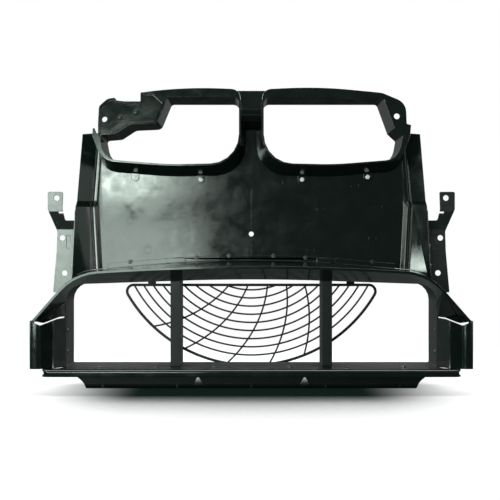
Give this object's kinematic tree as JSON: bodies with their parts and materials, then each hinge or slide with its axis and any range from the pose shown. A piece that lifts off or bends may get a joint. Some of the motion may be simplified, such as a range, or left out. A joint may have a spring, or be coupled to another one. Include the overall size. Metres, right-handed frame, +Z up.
{
  "type": "front end panel",
  "caption": "Moulded front end panel with twin grille ducts, a flared lower intake, a half-round fan finger guard and steel side brackets.",
  "frame": {"origin": "centre of the locating hole, on the front face of the centre plate", "axes": "+X across the car to the viewer's right when seen from the front, +Y to the rear, +Z up"},
  "size_m": [0.672, 0.1574, 0.4759],
  "materials": {
    "black_moulding": "satin moulded polypropylene",
    "nylon_fastener": "smooth nylon",
    "coated_steel": "black dip coat on pressed sheet",
    "fastener_steel": "plated"
  },
  "bodies": {
    "root": {"apron_screws": "fastener_steel", "centre_bridge": "black_moulding", "centre_plate": "black_moulding", "fan_guard": "black_moulding", "guard_screws": "fastener_steel", "hood_rivets": "nylon_fastener", "left_bracket": "coated_steel", "left_bracket_rivets": "fastener_steel", "left_duct_clips": "nylon_fastener", "left_grille_duct": "black_moulding", "left_scoop_rivets": "nylon_fastener", "left_sensor_arm": "black_moulding", "left_side_scoop": "black_moulding", "left_strut": "black_moulding", "lower_apron": "black_moulding", "lower_duct_floor": "black_moulding", "lower_duct_hood": "black_moulding", "rear_frame": "black_moulding", "right_bracket": "coated_steel", "right_bracket_rivets": "fastener_steel", "right_duct_clips": "nylon_fastener", "right_grille_duct": "black_moulding", "right_scoop_rivets": "nylon_fastener", "right_side_scoop": "black_moulding", "right_strut": "black_moulding", "sensor_arm_rivets": "nylon_fastener"}
  },
  "joints": []
}
